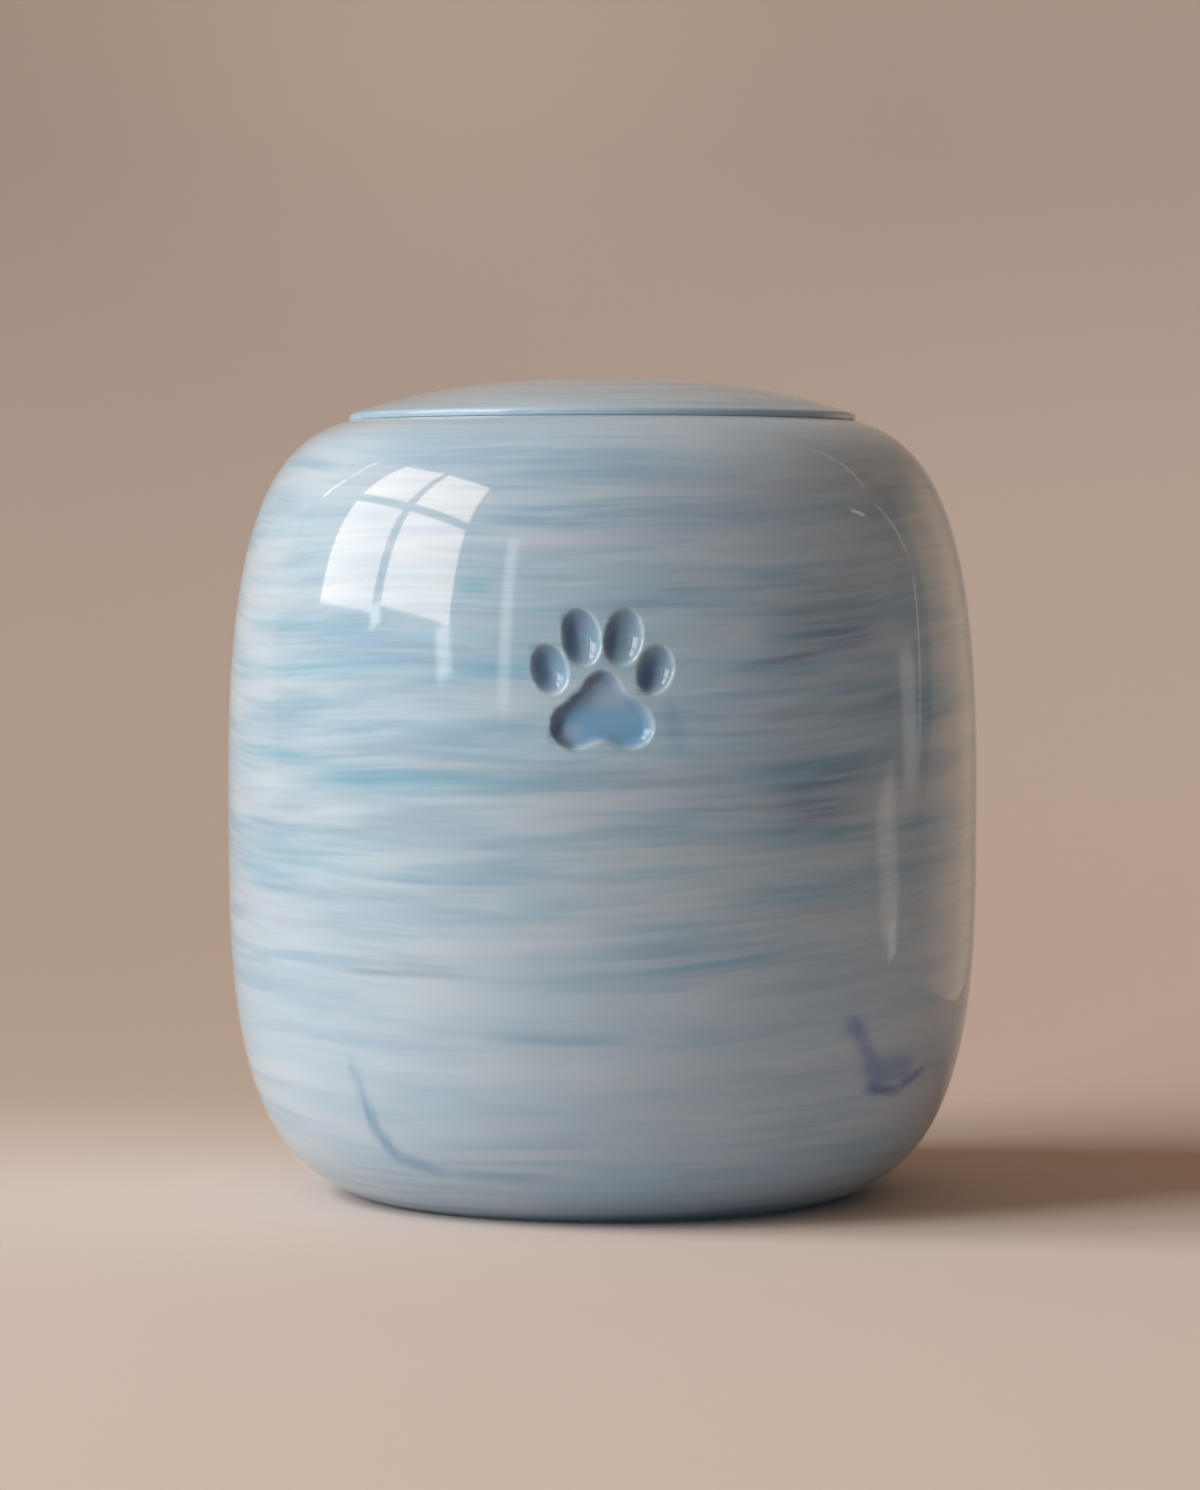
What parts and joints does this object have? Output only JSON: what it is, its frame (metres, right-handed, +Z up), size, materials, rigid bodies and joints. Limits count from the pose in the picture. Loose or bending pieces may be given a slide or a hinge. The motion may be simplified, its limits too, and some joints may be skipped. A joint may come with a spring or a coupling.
{
  "type": "funeral urn",
  "caption": "Round-shouldered barrel-shaped glazed ceramic urn for ashes, hollow, with a low domed lift-off lid and a paw print sunk into its front.",
  "frame": {"origin": "on the plane that the urn stands on, under the middle of the foot", "axes": "+Z up along the axis of the turned body, -Y towards the paw print, +X to the viewer's right"},
  "size_m": [0.15, 0.15, 0.1629],
  "materials": {
    "body_glaze": "glossy brushed glaze in watery blue, teal and lilac bands",
    "lid_glaze": "glossy brushed glaze in watery blue, teal and lilac bands"
  },
  "bodies": {
    "root": {"urn_body": "body_glaze", "lid": "lid_glaze"}
  },
  "joints": []
}
